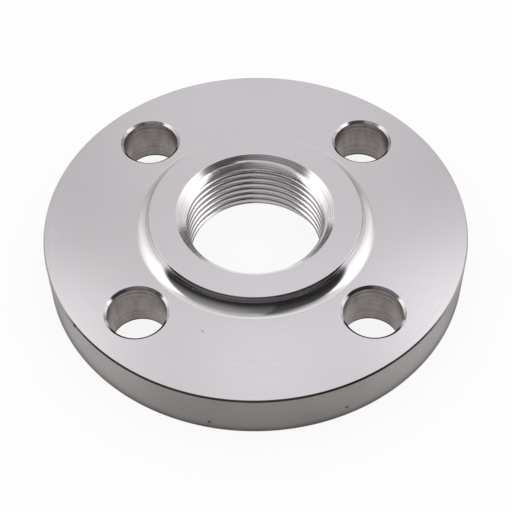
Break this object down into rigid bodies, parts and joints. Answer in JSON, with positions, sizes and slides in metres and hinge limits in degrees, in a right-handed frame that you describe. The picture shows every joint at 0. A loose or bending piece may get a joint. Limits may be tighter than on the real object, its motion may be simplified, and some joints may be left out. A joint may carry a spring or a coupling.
{
  "type": "threaded flange",
  "caption": "Round threaded pipe flange with a short filleted hub, a tapered pipe thread through its middle and bolt holes round it.",
  "frame": {"origin": "on the flange's axis, in the plane of its flat underside, the gasket face that it rests on", "axes": "+Z along the axis, from the gasket face towards the hub's face; bolt holes at 45, 135, 225 and 315 degrees from +X"},
  "size_m": [0.119, 0.119, 0.0189],
  "materials": {
    "steel": "fine-turned stainless steel, bright on the faces and duller on the rim and in the drilled holes"
  },
  "bodies": {
    "root": {"flange": "steel"}
  },
  "joints": []
}
